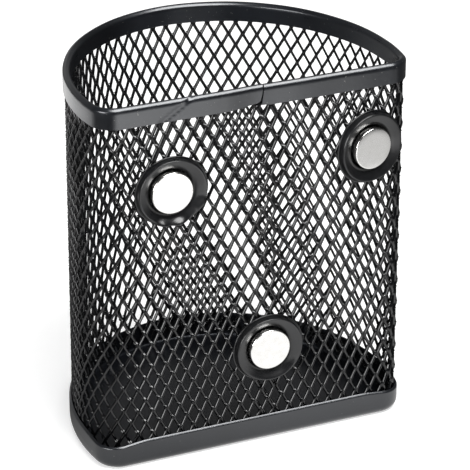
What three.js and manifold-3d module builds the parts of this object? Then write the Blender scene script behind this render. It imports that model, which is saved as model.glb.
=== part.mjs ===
// Magnetic pen holder: a D-shaped cup of expanded steel mesh with a folded rim, a pressed base pan
// and three plated magnets, each in a flanged cup that is set through the mesh of the flat face.
// Millimetres, +Z up. The flat face looks along -Y, and +X is to the right of someone who faces it.

import * as THREE from 'three';
import { mergeVertices } from 'three/addons/utils/BufferGeometryUtils.js';
import Module from 'manifold-3d';

const wasm = await Module();
wasm.setup();

// Driving dimensions of the whole holder
const holderHeight = 100;
const rimWidth = 86.4;
const rimDepth = 60.9;
const widestFromFace = 13;
const cornerRadius = 6.4;

// Clearance between two pieces that touch on the real object
const pieceGap = 0.3;

// Mesh wall. The diamonds are drawn coarser than the real 3.8 by 6.35 mm ones, in the same proportion.
const meshSheet = 0.7;
const diamondAcross = 9.8;
const diamondUp = 17.4;
const strandWidth = 2.5;

// Folded rim
const rimStrip = 0.35;
const rimHeight = 5.4;
const seamPlace = 1;
const seamGap = 0.3;
const rimOverMesh = 0.6;

// Base pan
const panSheet = 0.6;
const bandHeight = 7.4;
const panRound = 2.5;
const cornerDip = 0.9;
const dipReach = 11;
const bandOverMesh = 0.5;

// Magnets and what holds them
const magnetDiameter = 11;
const magnetThickness = 3.9;
const magnetBevel = 0.3;
const magnetProud = 0.3;
const cupSheet = 0.4;
const throatWidth = 1.7;
const throatDrop = 0.9;
const flangeFall = 1.85;
const flangeLip = 0.5;
const retainerSheet = 0.6;
const retainerWidth = 0.8;
const barrelPastRetainer = 0.2;

// Places of the magnets on the flat face, the first from where the flat face ends at the left
const upperLeftFromEnd = 12.3;
const upperLeftBelowTop = 23.7;
const upperRightBelowTop = 21.3;
const lowerAcross = 2.7;
const lowerAboveFloor = 27.4;

// Steps of the round shapes
const flatSteps = 9;
const cornerSteps = 6;
const bowSteps = 36;
const fineBowSteps = 160;
const foldSteps = 6;
const roundSteps = 28;
const crestSteps = 3;
const outerRoundSteps = 6;
const innerRoundSteps = 4;

// Points closer than this are one point, and the corner's place is found by this many halvings
const weldDistance = 1e-4;
const halvings = 60;

// Sizes that follow from the driving ones
const rimThickness = 2 * rimStrip + 2 * pieceGap + meshSheet;
const meshFrontInset = rimStrip + pieceGap;
const meshBackInset = meshFrontInset + meshSheet;
const panInset = meshFrontInset - pieceGap - panSheet;
const meshTop = holderHeight - rimThickness / 2;
const barrelDepth = meshSheet + pieceGap + retainerSheet + barrelPastRetainer;
const cupFloor = cupSheet - barrelDepth;
const magnetBack = cupFloor + pieceGap;
const magnetFace = magnetBack + magnetThickness;
const crestHeight = magnetFace - magnetProud;
const throatRadius = magnetDiameter / 2 + pieceGap;
const crestRadius = throatRadius + throatWidth;
const flangeRadius = crestRadius + flangeFall;
const barrelRadius = throatRadius + cupSheet;
const meshHoleRadius = barrelRadius + pieceGap;
const retainerRadius = meshHoleRadius + retainerWidth;

// The mesh starts where the pan's wall turns upright, so it clears the pan by one gap all the way up
const meshBottom = panRound;

// The bow of the D is an ellipse whose centre lies widestFromFace behind the flat face.
const bow = { across: rimWidth / 2, back: rimDepth - widestFromFace };

function bowStation(angle) {
  const x = bow.across * Math.cos(angle);
  const y = widestFromFace + bow.back * Math.sin(angle);
  const nx = bow.back * Math.cos(angle);
  const ny = bow.across * Math.sin(angle);
  const size = Math.hypot(nx, ny);
  return { x, y, nx: nx / size, ny: ny / size };
}

// The angle on the ellipse where the corner's arc touches it: the arc's centre is then
// cornerRadius from the flat face and from the ellipse alike. Found by halving an interval.
function cornerTouch() {
  let low = -Math.PI / 2;
  let high = 0;
  for (let turn = 0; turn < halvings; turn += 1) {
    const middle = (low + high) / 2;
    const station = bowStation(middle);
    const centre = station.y - cornerRadius * station.ny;
    if (centre < cornerRadius) low = middle;
    else high = middle;
  }
  return (low + high) / 2;
}

const touchAngle = cornerTouch();
const touch = bowStation(touchAngle);
const flatHalf = touch.x - cornerRadius * touch.nx;

// Half of the D from a point on the flat face to the middle of the bow, walked with the outside on
// the right hand. Each station holds a point of the outline and its outward normal.
function halfOutline(fromX, flats, corners, bows) {
  const stations = [];
  for (let step = 0; step < flats; step += 1) {
    const x = fromX + ((flatHalf - fromX) * step) / flats;
    stations.push({ x, y: 0, nx: 0, ny: -1 });
  }
  const turn = Math.atan2(touch.ny, touch.nx) + Math.PI / 2;
  for (let step = 0; step < corners; step += 1) {
    const angle = (turn * step) / corners - Math.PI / 2;
    const nx = Math.cos(angle);
    const ny = Math.sin(angle);
    const x = flatHalf + cornerRadius * nx;
    const y = cornerRadius + cornerRadius * ny;
    stations.push({ x, y, nx, ny, corner: true });
  }
  for (let step = 0; step <= bows / 2; step += 1) {
    const share = step / (bows / 2);
    const station = bowStation(touchAngle + (Math.PI / 2 - touchAngle) * share);
    stations.push({ ...station, corner: step === 0 });
  }
  return stations;
}

// The whole D, from one side of the seam on the flat face round to the other.
function outline(gap, corners, bows) {
  const right = halfOutline(seamPlace + gap / 2, flatSteps, corners, bows);
  const left = halfOutline(gap / 2 - seamPlace, flatSteps, corners, bows);
  const mirrored = left.map((s) => ({ ...s, x: -s.x, nx: -s.nx })).reverse();
  return [...right, ...mirrored.slice(1)];
}

function insetPoint(station, inset) {
  return [station.x - station.nx * inset, station.y - station.ny * inset];
}

// A geometry from loose triangles, each a list of three points, with shared corners merged.
function solidOf(triangles) {
  const geometry = new THREE.BufferGeometry();
  const numbers = new Float32Array(triangles.flat(2));
  geometry.setAttribute('position', new THREE.BufferAttribute(numbers, 3));
  const merged = mergeVertices(geometry, weldDistance);
  merged.computeVertexNormals();
  return merged;
}

function quad(a, b, c, d) {
  return [[a, b, c], [a, c, d]];
}

// Carries a profile of [inset, height] pairs round the D. The profile goes up on the outside.
function carryRound(stations, profile, closedRing, closedProfile, lift) {
  const rings = stations.map((station) =>
    profile.map(([inset, height], index) => {
      const [x, y] = insetPoint(station, inset);
      return [x, y, height + lift(station, index)];
    }));
  const triangles = [];
  const ringCount = closedRing ? rings.length : rings.length - 1;
  const sideCount = closedProfile ? profile.length : profile.length - 1;
  for (let i = 0; i < ringCount; i += 1) {
    const here = rings[i];
    const next = rings[(i + 1) % rings.length];
    for (let j = 0; j < sideCount; j += 1) {
      const above = (j + 1) % profile.length;
      triangles.push(...quad(here[j], next[j], next[above], here[above]));
    }
  }
  return { rings, triangles };
}

// Triangles that fill a flat outline of 3-D points. flat gives each point's two plane coordinates.
function fill(points, flat, flip) {
  const contour = points.map((point) => new THREE.Vector2(...flat(point)));
  return THREE.ShapeUtils.triangulateShape(contour, []).map(([a, b, c]) =>
    (flip ? [points[a], points[c], points[b]] : [points[a], points[b], points[c]]));
}

function noLift() {
  return 0;
}

// Points of a quarter or half round, as [inset, height] pairs.
function arc(centreInset, centreHeight, radius, from, to, steps) {
  const points = [];
  for (let step = 0; step <= steps; step += 1) {
    const angle = from + ((to - from) * step) / steps;
    points.push([centreInset - radius * Math.cos(angle), centreHeight + radius * Math.sin(angle)]);
  }
  return points;
}

// A strip folded over the mesh's top edge, open at the seam, with a leg on each side of the mesh.
function rimGeometry() {
  const middle = rimThickness / 2;
  const springing = holderHeight - middle;
  const legEnd = holderHeight - rimHeight;
  const outside = arc(middle, springing, middle, 0, Math.PI, outerRoundSteps);
  const inside = arc(middle, springing, middle - rimStrip, Math.PI, 0, innerRoundSteps);
  const profile = [
    [0, legEnd],
    ...outside,
    [rimThickness, legEnd],
    [rimThickness - rimStrip, legEnd],
    ...inside,
    [rimStrip, legEnd],
  ];
  const stations = outline(seamGap, cornerSteps, bowSteps);
  const { rings, triangles } = carryRound(stations, profile, false, true, noLift);
  const sideways = ([, y, z]) => [y, z];
  triangles.push(...fill(rings[0], sideways, true));
  triangles.push(...fill(rings.at(-1), sideways, false));
  return solidOf(triangles);
}

// How much of the band's corner dip a point of the outline gets, from 0 to 1.
function dipShare(station) {
  const cornerMiddle = flatHalf + cornerRadius * Math.SQRT1_2;
  const lowMiddle = cornerRadius * (1 - Math.SQRT1_2);
  const away = Math.hypot(Math.abs(station.x) - cornerMiddle, station.y - lowMiddle);
  return away < dipReach ? 0.5 + 0.5 * Math.cos((Math.PI * away) / dipReach) : 0;
}

// A pressed pan: floor, rounded lower edge and an upturned band whose top edge dips at the corners.
function panGeometry() {
  const turn = -Math.PI / 2;
  const wallInside = panInset + panSheet;
  const roundMiddle = panInset + panRound;
  const lowerEdge = arc(roundMiddle, panRound, panRound, turn, 0, innerRoundSteps);
  const floorEdge = arc(roundMiddle, panRound, panRound - panSheet, 0, turn, innerRoundSteps);
  const profile = [...lowerEdge, [panInset, bandHeight], [wallInside, bandHeight], ...floorEdge];
  const firstTop = lowerEdge.length;
  const lift = (station, index) => {
    const onTopEdge = index === firstTop || index === firstTop + 1;
    return onTopEdge ? -cornerDip * dipShare(station) : 0;
  };
  const stations = outline(0, cornerSteps, bowSteps).slice(1);
  const { rings, triangles } = carryRound(stations, profile, true, false, lift);
  const fromAbove = ([x, y]) => [x, y];
  triangles.push(...fill(rings.map((ring) => ring[0]), fromAbove, true));
  triangles.push(...fill(rings.map((ring) => ring.at(-1)), fromAbove, false));
  return solidOf(triangles);
}

// The way round the wall, as stations with their distance from the seam along the mesh's middle.
function wallTrack() {
  const middleInset = (meshFrontInset + meshBackInset) / 2;
  const stations = outline(0, foldSteps, fineBowSteps);
  let distance = 0;
  let [lastX, lastY] = insetPoint(stations[0], middleInset);
  return stations.map((station) => {
    const [x, y] = insetPoint(station, middleInset);
    distance += Math.hypot(x - lastX, y - lastY);
    lastX = x;
    lastY = y;
    return { ...station, distance };
  });
}

const track = wallTrack();
const wallLength = track.at(-1).distance;
const folds = track.filter((station) => station.corner).map((station) => station.distance);

// The point of the wall at a distance from the seam, a height and an inset from the rim's face.
function wallPoint([distance, height], inset) {
  const along = ((distance % wallLength) + wallLength) % wallLength;
  const after = Math.max(1, track.findIndex((station) => station.distance >= along));
  const a = track[after - 1];
  const b = track[after];
  const share = (along - a.distance) / (b.distance - a.distance);
  const [ax, ay] = insetPoint(a, inset);
  const [bx, by] = insetPoint(b, inset);
  return [ax + (bx - ax) * share, ay + (by - ay) * share, height];
}

// The flat pattern of the mesh: its solid patches, and the edges that its walls stand on, with the
// open side on the left of each edge. A diamond is the space between four strands.
function meshPattern() {
  const windowBottom = bandHeight - cornerDip - bandOverMesh;
  const windowTop = holderHeight - rimHeight + rimOverMesh;
  const columns = Math.round(wallLength / diamondAcross);
  const halfRows = Math.round((windowTop - windowBottom) / (diamondUp / 2));
  const halfAcross = wallLength / columns / 2;
  const halfUp = (windowTop - windowBottom) / halfRows;
  const shrink = 1 - (strandWidth / 2) * Math.hypot(1 / halfAcross, 1 / halfUp);
  const holeAcross = halfAcross * shrink;
  const holeUp = halfUp * shrink;
  const patches = [];
  const edges = [];
  for (let row = 0; row <= halfRows; row += 1) {
    for (let column = 0; column < columns; column += 1) {
      const x = (2 * column + (row % 2)) * halfAcross;
      const z = windowBottom + row * halfUp;
      const hole = { x, z, first: row === 0, last: row === halfRows };
      addDiamond(hole, { halfAcross, halfUp, holeAcross, holeUp }, patches, edges);
    }
  }
  addBorder(meshBottom, windowBottom, 0, columns, { halfAcross, holeAcross }, patches, edges);
  const topShift = (halfRows % 2) * halfAcross;
  addBorder(windowTop, meshTop, topShift, columns, { halfAcross, holeAcross }, patches, edges);
  return { patches, edges };
}

// One diamond with the knuckle on its right and the two strands above it. The first and the last
// row are half diamonds.
function addDiamond({ x, z, first, last }, size, patches, edges) {
  const { halfAcross, halfUp, holeAcross, holeUp } = size;
  const right = [x + holeAcross, z];
  const left = [x - holeAcross, z];
  const top = [x, z + holeUp];
  const bottom = [x, z - holeUp];
  const nextLeft = [x + 2 * halfAcross - holeAcross, z];
  const aboveBottom = [x + halfAcross, z + halfUp - holeUp];
  const belowTop = [x + halfAcross, z - halfUp + holeUp];
  patches.push([right, ...(first ? [] : [belowTop]), nextLeft, ...(last ? [] : [aboveBottom])]);
  addEdges([right, ...(last ? [] : [top]), left, ...(first ? [] : [bottom])], true, edges);
  if (last) return;
  const aboveRightLeft = [x + halfAcross - holeAcross, z + halfUp];
  const aboveLeftRight = [x - halfAcross + holeAcross, z + halfUp];
  const aboveLeftBottom = [x - halfAcross, z + halfUp - holeUp];
  patches.push([right, aboveBottom, aboveRightLeft, top]);
  patches.push([left, top, aboveLeftRight, aboveLeftBottom]);
}

// The plain edge of the sheet, hidden in the rim or in the pan.
function addBorder(low, high, shift, columns, { halfAcross, holeAcross }, patches, edges) {
  const outerEdge = high === meshTop ? high : low;
  for (let column = 0; column < columns; column += 1) {
    const x = 2 * column * halfAcross + shift;
    const marks = [x - holeAcross, x + holeAcross, x + 2 * halfAcross - holeAcross];
    for (let mark = 0; mark < 2; mark += 1) {
      const from = marks[mark];
      const to = marks[mark + 1];
      patches.push([[from, low], [to, low], [to, high], [from, high]]);
      const edge = [[from, outerEdge], [to, outerEdge]];
      addEdges(outerEdge === high ? edge : edge.reverse(), false, edges);
    }
  }
}

function addEdges(points, closed, edges) {
  const count = closed ? points.length : points.length - 1;
  for (let index = 0; index < count; index += 1) {
    edges.push([points[index], points[(index + 1) % points.length]]);
  }
}

// Splits a convex patch along an upright line at distance x, into what lies before and after it.
function splitPatch(patch, x) {
  const before = [];
  const after = [];
  patch.forEach((corner, index) => {
    const next = patch[(index + 1) % patch.length];
    if (corner[0] <= x) before.push(corner);
    if (corner[0] >= x) after.push(corner);
    if ((corner[0] - x) * (next[0] - x) < 0) {
      const cut = cutPoint(corner, next, x);
      before.push(cut);
      after.push(cut);
    }
  });
  return [before, after].filter((piece) => piece.length > 2);
}

function cutPoint(a, b, x) {
  const share = (x - a[0]) / (b[0] - a[0]);
  return [x, a[1] + (b[1] - a[1]) * share];
}

// The corner lines that cross a span of distances, with the wall's length added or taken away where
// the span runs over the seam.
function foldsBetween(low, high) {
  const turns = [-wallLength, 0, wallLength];
  const all = turns.flatMap((turn) => folds.map((fold) => fold + turn));
  const inside = all.filter((fold) => fold > low + weldDistance && fold < high - weldDistance);
  return inside.sort((a, b) => a - b);
}

function foldPatch(patch) {
  const distances = patch.map(([x]) => x);
  let pieces = [patch];
  for (const fold of foldsBetween(Math.min(...distances), Math.max(...distances))) {
    pieces = pieces.flatMap((piece) => splitPatch(piece, fold));
  }
  return pieces;
}

function foldEdge([a, b]) {
  const crossing = foldsBetween(Math.min(a[0], b[0]), Math.max(a[0], b[0]));
  const cuts = crossing.map((fold) => cutPoint(a, b, fold));
  if (a[0] > b[0]) cuts.reverse();
  return [a, ...cuts, b];
}

// The diamond mesh bent round the D, as one sheet with its ends joined.
function meshSheetGeometry() {
  const { patches, edges } = meshPattern();
  const front = (point) => wallPoint(point, meshFrontInset);
  const back = (point) => wallPoint(point, meshBackInset);
  const triangles = [];
  for (const piece of patches.flatMap(foldPatch)) {
    for (let corner = 1; corner < piece.length - 1; corner += 1) {
      const face = [piece[0], piece[corner], piece[corner + 1]];
      triangles.push(face.map(front));
      triangles.push(face.map(back).reverse());
    }
  }
  for (const edge of edges) {
    const points = foldEdge(edge);
    for (let index = 0; index < points.length - 1; index += 1) {
      const a = points[index];
      const b = points[index + 1];
      triangles.push(...quad(front(a), front(b), back(b), back(a)));
    }
  }
  return solidOf(triangles);
}

function toManifold(geometry) {
  const bare = geometry.clone();
  bare.deleteAttribute('normal');
  bare.deleteAttribute('uv');
  const merged = mergeVertices(bare, weldDistance);
  const vertProperties = new Float32Array(merged.attributes.position.array);
  const triVerts = new Uint32Array(merged.index.array);
  return new wasm.Manifold(new wasm.Mesh({ numProp: 3, vertProperties, triVerts }));
}

function fromManifold(solid) {
  const { vertProperties, triVerts } = solid.getMesh();
  const geometry = new THREE.BufferGeometry();
  geometry.setAttribute('position', new THREE.BufferAttribute(vertProperties, 3));
  geometry.setIndex(new THREE.BufferAttribute(triVerts, 1));
  geometry.computeVertexNormals();
  return geometry;
}

// The mesh wall with a round hole punched for each magnet cup's barrel.
function wallGeometry() {
  let wall = toManifold(meshSheetGeometry());
  const punchLength = 2 * meshSheet + 2 * pieceGap;
  for (const { across, up } of magnetPlaces()) {
    const punch = new THREE.CylinderGeometry(meshHoleRadius, meshHoleRadius, punchLength, roundSteps);
    punch.translate(across, meshFrontInset, up);
    wall = wall.subtract(toManifold(punch));
  }
  return fromManifold(wall);
}

// Where the magnets stand. The upper right one is as near to the corner as the mesh allows: behind
// the mesh its flat retainer may run past the start of the corner until it comes close to the bend.
function magnetPlaces() {
  const bendRadius = cornerRadius - meshBackInset;
  const bendDrop = pieceGap / 2;
  const pastFlat = Math.sqrt(bendRadius ** 2 - (bendRadius - bendDrop) ** 2);
  const leftAcross = upperLeftFromEnd - flatHalf;
  const rightAcross = flatHalf + pastFlat - retainerRadius;
  return [
    { name: 'upper_left', across: leftAcross, up: holderHeight - upperLeftBelowTop },
    { name: 'upper_right', across: rightAcross, up: holderHeight - upperRightBelowTop },
    { name: 'lower', across: lowerAcross, up: lowerAboveFloor },
  ];
}

// A quarter ellipse from the crest's [radius, height] down to another, as a list of such pairs.
function fallFromCrest(crest, end) {
  const points = [];
  for (let step = 0; step <= crestSteps; step += 1) {
    const angle = (Math.PI / 2) * (step / crestSteps);
    const radius = crest[0] + (end[0] - crest[0]) * Math.sin(angle);
    const height = crest[1] + (end[1] - crest[1]) * (1 - Math.cos(angle));
    points.push([radius, height]);
  }
  return points;
}

function turned(profile) {
  const points = profile.map(([radius, height]) => new THREE.Vector2(radius, height));
  return new THREE.LatheGeometry(points, roundSteps);
}

// A pressed cup: closed barrel through the mesh, and a flange that swells to a round crest in front
// of it. Heights are measured outwards from the front of the mesh.
function cupGeometry() {
  const crest = [crestRadius, crestHeight];
  const underCrest = [crestRadius, crestHeight - cupSheet];
  const throat = [throatRadius, crestHeight - throatDrop];
  const underThroat = [barrelRadius, crestHeight - throatDrop - cupSheet];
  const lip = [flangeRadius, pieceGap + flangeLip];
  const underLip = [flangeRadius - cupSheet, pieceGap];
  return turned([
    [0, -barrelDepth],
    [barrelRadius, -barrelDepth],
    ...fallFromCrest(underCrest, underThroat).reverse(),
    ...fallFromCrest(underCrest, underLip).slice(1),
    [flangeRadius, pieceGap],
    ...fallFromCrest(crest, lip).reverse(),
    ...fallFromCrest(crest, throat).slice(1),
    [throatRadius, cupFloor],
    [0, cupFloor],
  ]);
}

function magnetGeometry() {
  const radius = magnetDiameter / 2;
  return turned([
    [0, magnetBack],
    [radius - magnetBevel, magnetBack],
    [radius, magnetBack + magnetBevel],
    [radius, magnetFace - magnetBevel],
    [radius - magnetBevel, magnetFace],
    [0, magnetFace],
  ]);
}

// A ring pressed on the barrel behind the mesh.
function retainerGeometry() {
  const front = -meshSheet - pieceGap;
  const back = front - retainerSheet;
  return turned([
    [meshHoleRadius, back],
    [retainerRadius, back],
    [retainerRadius, front],
    [meshHoleRadius, front],
    [meshHoleRadius, back],
  ]);
}

function blackPaint() {
  return new THREE.MeshStandardMaterial({ color: 0x1d1e20, roughness: 0.35, metalness: 0.2 });
}

function platedNickel() {
  return new THREE.MeshStandardMaterial({ color: 0xd8d9da, roughness: 0.2, metalness: 1 });
}

function piece(name, geometry, material) {
  const mesh = new THREE.Mesh(geometry, material);
  mesh.name = name;
  return mesh;
}

// A magnet set stands on the flat face, its axis turned from +Y to point out of the face.
function magnetSet({ name, across, up }) {
  const set = new THREE.Group();
  set.add(piece(`magnet_cup_${name}`, cupGeometry(), blackPaint()));
  set.add(piece(`magnet_${name}`, magnetGeometry(), platedNickel()));
  set.add(piece(`retainer_${name}`, retainerGeometry(), blackPaint()));
  set.rotation.x = Math.PI;
  set.position.set(across, meshFrontInset, up);
  return set;
}

const holder = new THREE.Group();
holder.add(piece('mesh_wall', wallGeometry(), blackPaint()));
holder.add(piece('top_rim', rimGeometry(), blackPaint()));
holder.add(piece('base_pan', panGeometry(), blackPaint()));
for (const place of magnetPlaces()) holder.add(magnetSet(place));

// The origin is under the middle of the whole holder, from the magnets' faces to the pan's back.
const frontMost = meshFrontInset - magnetFace;
const backMost = rimDepth - panInset;
holder.position.y = -(frontMost + backMost) / 2;

export default holder;
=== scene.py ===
# %% [markdown]
# # A magnetic pen holder of black steel mesh
# The holder is a D-shaped cup. Its wall is expanded steel: a sheet that was slit and pulled open into
# diamonds. A folded strip makes the rim, a pressed pan makes the base, and three plated magnets sit in
# flanged cups on the flat face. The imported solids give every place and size. They are loaded first and
# never changed, and each new piece stands where its solid stands. Shapes are worked out in millimetres,
# and the studio in metres.

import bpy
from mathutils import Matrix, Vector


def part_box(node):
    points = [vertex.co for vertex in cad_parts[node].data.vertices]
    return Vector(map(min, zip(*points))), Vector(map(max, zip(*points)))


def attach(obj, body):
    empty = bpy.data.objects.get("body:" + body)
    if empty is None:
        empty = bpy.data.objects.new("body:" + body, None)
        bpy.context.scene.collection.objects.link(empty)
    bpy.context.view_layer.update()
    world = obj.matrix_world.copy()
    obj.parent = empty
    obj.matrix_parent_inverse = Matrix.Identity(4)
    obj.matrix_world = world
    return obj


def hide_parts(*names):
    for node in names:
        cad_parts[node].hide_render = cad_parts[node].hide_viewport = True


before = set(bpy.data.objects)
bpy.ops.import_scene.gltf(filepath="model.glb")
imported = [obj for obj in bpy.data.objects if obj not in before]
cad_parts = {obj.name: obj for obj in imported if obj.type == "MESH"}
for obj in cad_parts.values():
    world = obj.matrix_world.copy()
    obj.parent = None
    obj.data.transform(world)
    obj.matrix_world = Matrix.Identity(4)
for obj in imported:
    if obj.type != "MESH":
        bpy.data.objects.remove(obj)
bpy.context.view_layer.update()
print("solids:", sorted(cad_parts))

# %% Tools of the trade
import math

import bpy
import numpy as np
from mathutils import Matrix, Vector

MM = 0.001
scene = bpy.context.scene
print("drawn in units of", MM, "m")

# %% [markdown]
# ## The camera
# The photograph was taken with a long lens from the front left, looking down at the flat face. A long
# lens keeps the upright edges nearly parallel. The camera stands on a line through a point inside the
# cup, and a small lens shift moves the cup to its place in the picture without turning the camera.

# %% Place the camera
VIEW_AZIMUTH = math.radians(-23.438)
VIEW_ELEVATION = math.radians(25.532)
VIEW_ROLL = math.radians(0.075)
VIEW_DISTANCE_MM = 734.557
LOOK_AT_MM = Vector((0, -4.5, 50))
PICTURE_PX = 470
FOCAL_PX = 2823.776
SHIFT_PX = Vector((16.097, -5.114))
SENSOR_MM = 36


def camera_axes(azimuth, elevation, roll):
    """Right, up and back of a camera that looks at a point from that azimuth and elevation."""
    back = Vector((math.sin(azimuth) * math.cos(elevation), -math.cos(azimuth) * math.cos(elevation),
                   math.sin(elevation)))
    right = Vector((math.cos(azimuth), math.sin(azimuth), 0))
    turn = Matrix.Rotation(roll, 3, back)
    return turn @ right, turn @ back.cross(right), back


def add_camera():
    """A camera whose focal length in pixels over the picture's width gives its lens, as a share of
    the sensor, and whose shift is the photograph's in pixels over that same width."""
    right, up, back = camera_axes(VIEW_AZIMUTH, VIEW_ELEVATION, VIEW_ROLL)
    data = bpy.data.cameras.new("camera")
    data.sensor_width = SENSOR_MM
    data.lens = SENSOR_MM * FOCAL_PX / PICTURE_PX
    data.shift_x = SHIFT_PX.x / PICTURE_PX
    data.shift_y = SHIFT_PX.y / PICTURE_PX
    camera = bpy.data.objects.new("camera", data)
    camera.matrix_world = Matrix((right, up, back)).transposed().to_4x4()
    camera.location = (LOOK_AT_MM + back * VIEW_DISTANCE_MM) * MM
    scene.collection.objects.link(camera)
    return camera


scene.camera = add_camera()
print("lens:", round(scene.camera.data.lens, 1), "mm")

# %% [markdown]
# ## The plan of the cup
# Rim, mesh and pan all follow one D-shaped outline, and each lies a little further in than the last.
# So the outline is worked out once, as a fine table of points with their outward normals. Any piece
# then asks for the point at a distance round the D and an inset. The bow is an ellipse, and a small
# arc rounds each corner where the ellipse meets the flat face.

# %% The outline as a table
RIM_WIDTH = 86.4
RIM_DEPTH = 60.9
WIDEST_FROM_FACE = 13
CORNER_RADIUS = 6.4
MESH_CORNER_RADIUS = 16.0
MESH_INSET = 1.0
FACE_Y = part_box("top_rim")[0].y / MM
FLAT_STEPS, CORNER_STEPS, BOW_STEPS, SEARCH_STEPS = 120, 80, 500, 30000


def bow_outline(angle):
    """Points and outward normals of the ellipse: half the width by the depth behind its widest place."""
    across, back = RIM_WIDTH / 2, RIM_DEPTH - WIDEST_FROM_FACE
    normal = np.stack([back * np.cos(angle), across * np.sin(angle)], 1)
    normal /= np.linalg.norm(normal, axis=1, keepdims=True)
    point = np.stack([across * np.cos(angle), WIDEST_FROM_FACE + back * np.sin(angle)], 1)
    return point, normal


def half_outline(radius):
    """Flat face, corner arc and bow. The arc touches the ellipse where the arc's centre, one radius in
    along the normal, is also one radius behind the flat face."""
    angle = np.linspace(-math.pi / 2, 1, SEARCH_STEPS + 1)[1:]
    point, normal = bow_outline(angle)
    touch = np.interp(radius, point[:, 1] - radius * normal[:, 1], angle)
    (end,), (end_normal,) = bow_outline(np.array([touch]))
    centre = end - radius * end_normal
    turn = np.linspace(-math.pi / 2, math.atan2(end_normal[1], end_normal[0]), CORNER_STEPS)
    arc_normal = np.stack([np.cos(turn), np.sin(turn)], 1)
    flat = np.stack([np.linspace(0, centre[0], FLAT_STEPS), np.zeros(FLAT_STEPS)], 1)
    bow, bow_normal = bow_outline(np.linspace(touch, math.pi / 2, BOW_STEPS))
    points = np.concatenate([flat[:-1], (centre + radius * arc_normal)[:-1], bow])
    normals = np.concatenate([np.tile([0.0, -1.0], (FLAT_STEPS - 1, 1)), arc_normal[:-1], bow_normal])
    return points, normals, centre[0]


def whole_outline(radius):
    """The half and its mirror image as columns x, y and normal, the distance round the mesh's middle
    for each point, and where the flat face ends."""
    points, normals, flat_half = half_outline(radius)
    points = np.concatenate([points, points[-2::-1] * [-1, 1]])
    normals = np.concatenate([normals, normals[-2::-1] * [-1, 1]])
    middle = points - MESH_INSET * normals
    steps = np.linalg.norm(np.diff(middle, axis=0), axis=1)
    return np.column_stack([points, normals]), np.concatenate([[0], np.cumsum(steps)]), flat_half


SHARP = whole_outline(CORNER_RADIUS)
SOFT = whole_outline(MESH_CORNER_RADIUS)
ROUND, SOFT_ROUND = SHARP[1][-1], SOFT[1][-1]
FLAT_HALF, SOFT_FLAT_HALF = SHARP[2], SOFT[2]


def on_plan(distance, inset, outline=SHARP):
    """The x and y at a distance round the D from the middle of the flat face, moved in by inset."""
    table, places = outline[:2]
    at = np.mod(distance, places[-1])
    x, y, nx, ny = (np.interp(at, places, column) for column in table.T)
    size = np.hypot(nx, ny)
    return x - nx / size * inset, FACE_Y + y - ny / size * inset


print("round the mesh:", round(ROUND, 2), "mm; flat to", round(FLAT_HALF, 2), "mm either side")
print("with soft corners:", round(SOFT_ROUND, 2), "mm; flat to", round(SOFT_FLAT_HALF, 2), "mm")

# %% [markdown]
# ## From arrays to meshes
# Every piece here is a grid of points, computed as one array. One helper joins neighbouring points of
# a grid with four-sided faces, and another puts points and faces into a Blender mesh. A closed shape
# whose faces all look inwards has a negative volume, so the helper measures it and turns the faces.

# %% Mesh helpers
def grid_faces(rings, around):
    """Faces between neighbours of a grid of rings, each of which closes on itself. A point's number is
    its ring times the points around, plus its step."""
    ring, step = np.meshgrid(np.arange(rings - 1), np.arange(around), indexing="ij")
    after = (step + 1) % around
    corners = [ring * around + step, ring * around + after, (ring + 1) * around + after,
               (ring + 1) * around + step]
    return np.stack(corners, -1).reshape(-1, 4)


def fan_faces(pole, ring):
    """Triangles from one point to each side of a ring."""
    return np.stack([np.full(len(ring), pole), ring, np.roll(ring, -1)], 1)


def pole_faces(rings, around):
    """Faces of a row of rings with a fan at each end to one more point, which are numbered last."""
    ring, count = np.arange(around), rings * around
    return [grid_faces(rings, around), fan_faces(count, ring)[:, ::-1],
            fan_faces(count + 1, ring + count - around)]


def signed_volume(points, faces):
    """A sixth of the sum of a . (b x c) over the triangles of a fan in each face."""
    total = 0.0
    for block in faces:
        for k in range(1, block.shape[1] - 1):
            a, b, c = (points[block[:, n]] for n in (0, k, k + 1))
            total += np.einsum("ij,ij->", a, np.cross(b, c)) / 6
    return total


def make_piece(name, points, faces, material, nodes, crease=40):
    """A closed piece, from points in millimetres, that rides on the body and stands for its solids."""
    points = points.reshape(-1, 3)
    volume = signed_volume(points - points.mean(0), faces)
    blocks = [block[:, ::-1] if volume < 0 else block for block in faces]
    mesh = bpy.data.meshes.new(name)
    mesh.from_pydata((points * MM).tolist(), [], [face for block in blocks for face in block.tolist()])
    mesh.shade_smooth()
    mesh.set_sharp_from_angle(angle=math.radians(crease))
    mesh.materials.append(material)
    piece = bpy.data.objects.new(name, mesh)
    scene.collection.objects.link(piece)
    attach(piece, "root")
    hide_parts(*nodes)
    print(name, len(mesh.polygons), "faces,", round(abs(volume) / 1000, 2), "cm3")
    return piece


# %% [markdown]
# ## Paint and plating
# Everything but the magnets is steel with black baked enamel. Enamel is dark and smooth, and nearly
# all that the eye gets from it is reflection, blurred a little by the coat's orange-peel ripple. The
# colour is close to black, so the finish is told by roughness and bump, which change from place to
# place at real sizes. The magnets are plated with bright nickel, which is a mirror with a faint
# mottle.

# %% Material helpers
def linear(hex_colour):
    """The linear colour of an sRGB hex value. A share up to 0.04045 is divided by 12.92, and any more
    is taken plus 0.055, over 1.055, to the power 2.4."""
    srgb = [int(hex_colour[n:n + 2], 16) / 255 for n in (1, 3, 5)]
    return [c / 12.92 if c <= 0.04045 else ((c + 0.055) / 1.055) ** 2.4 for c in srgb] + [1]


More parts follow.
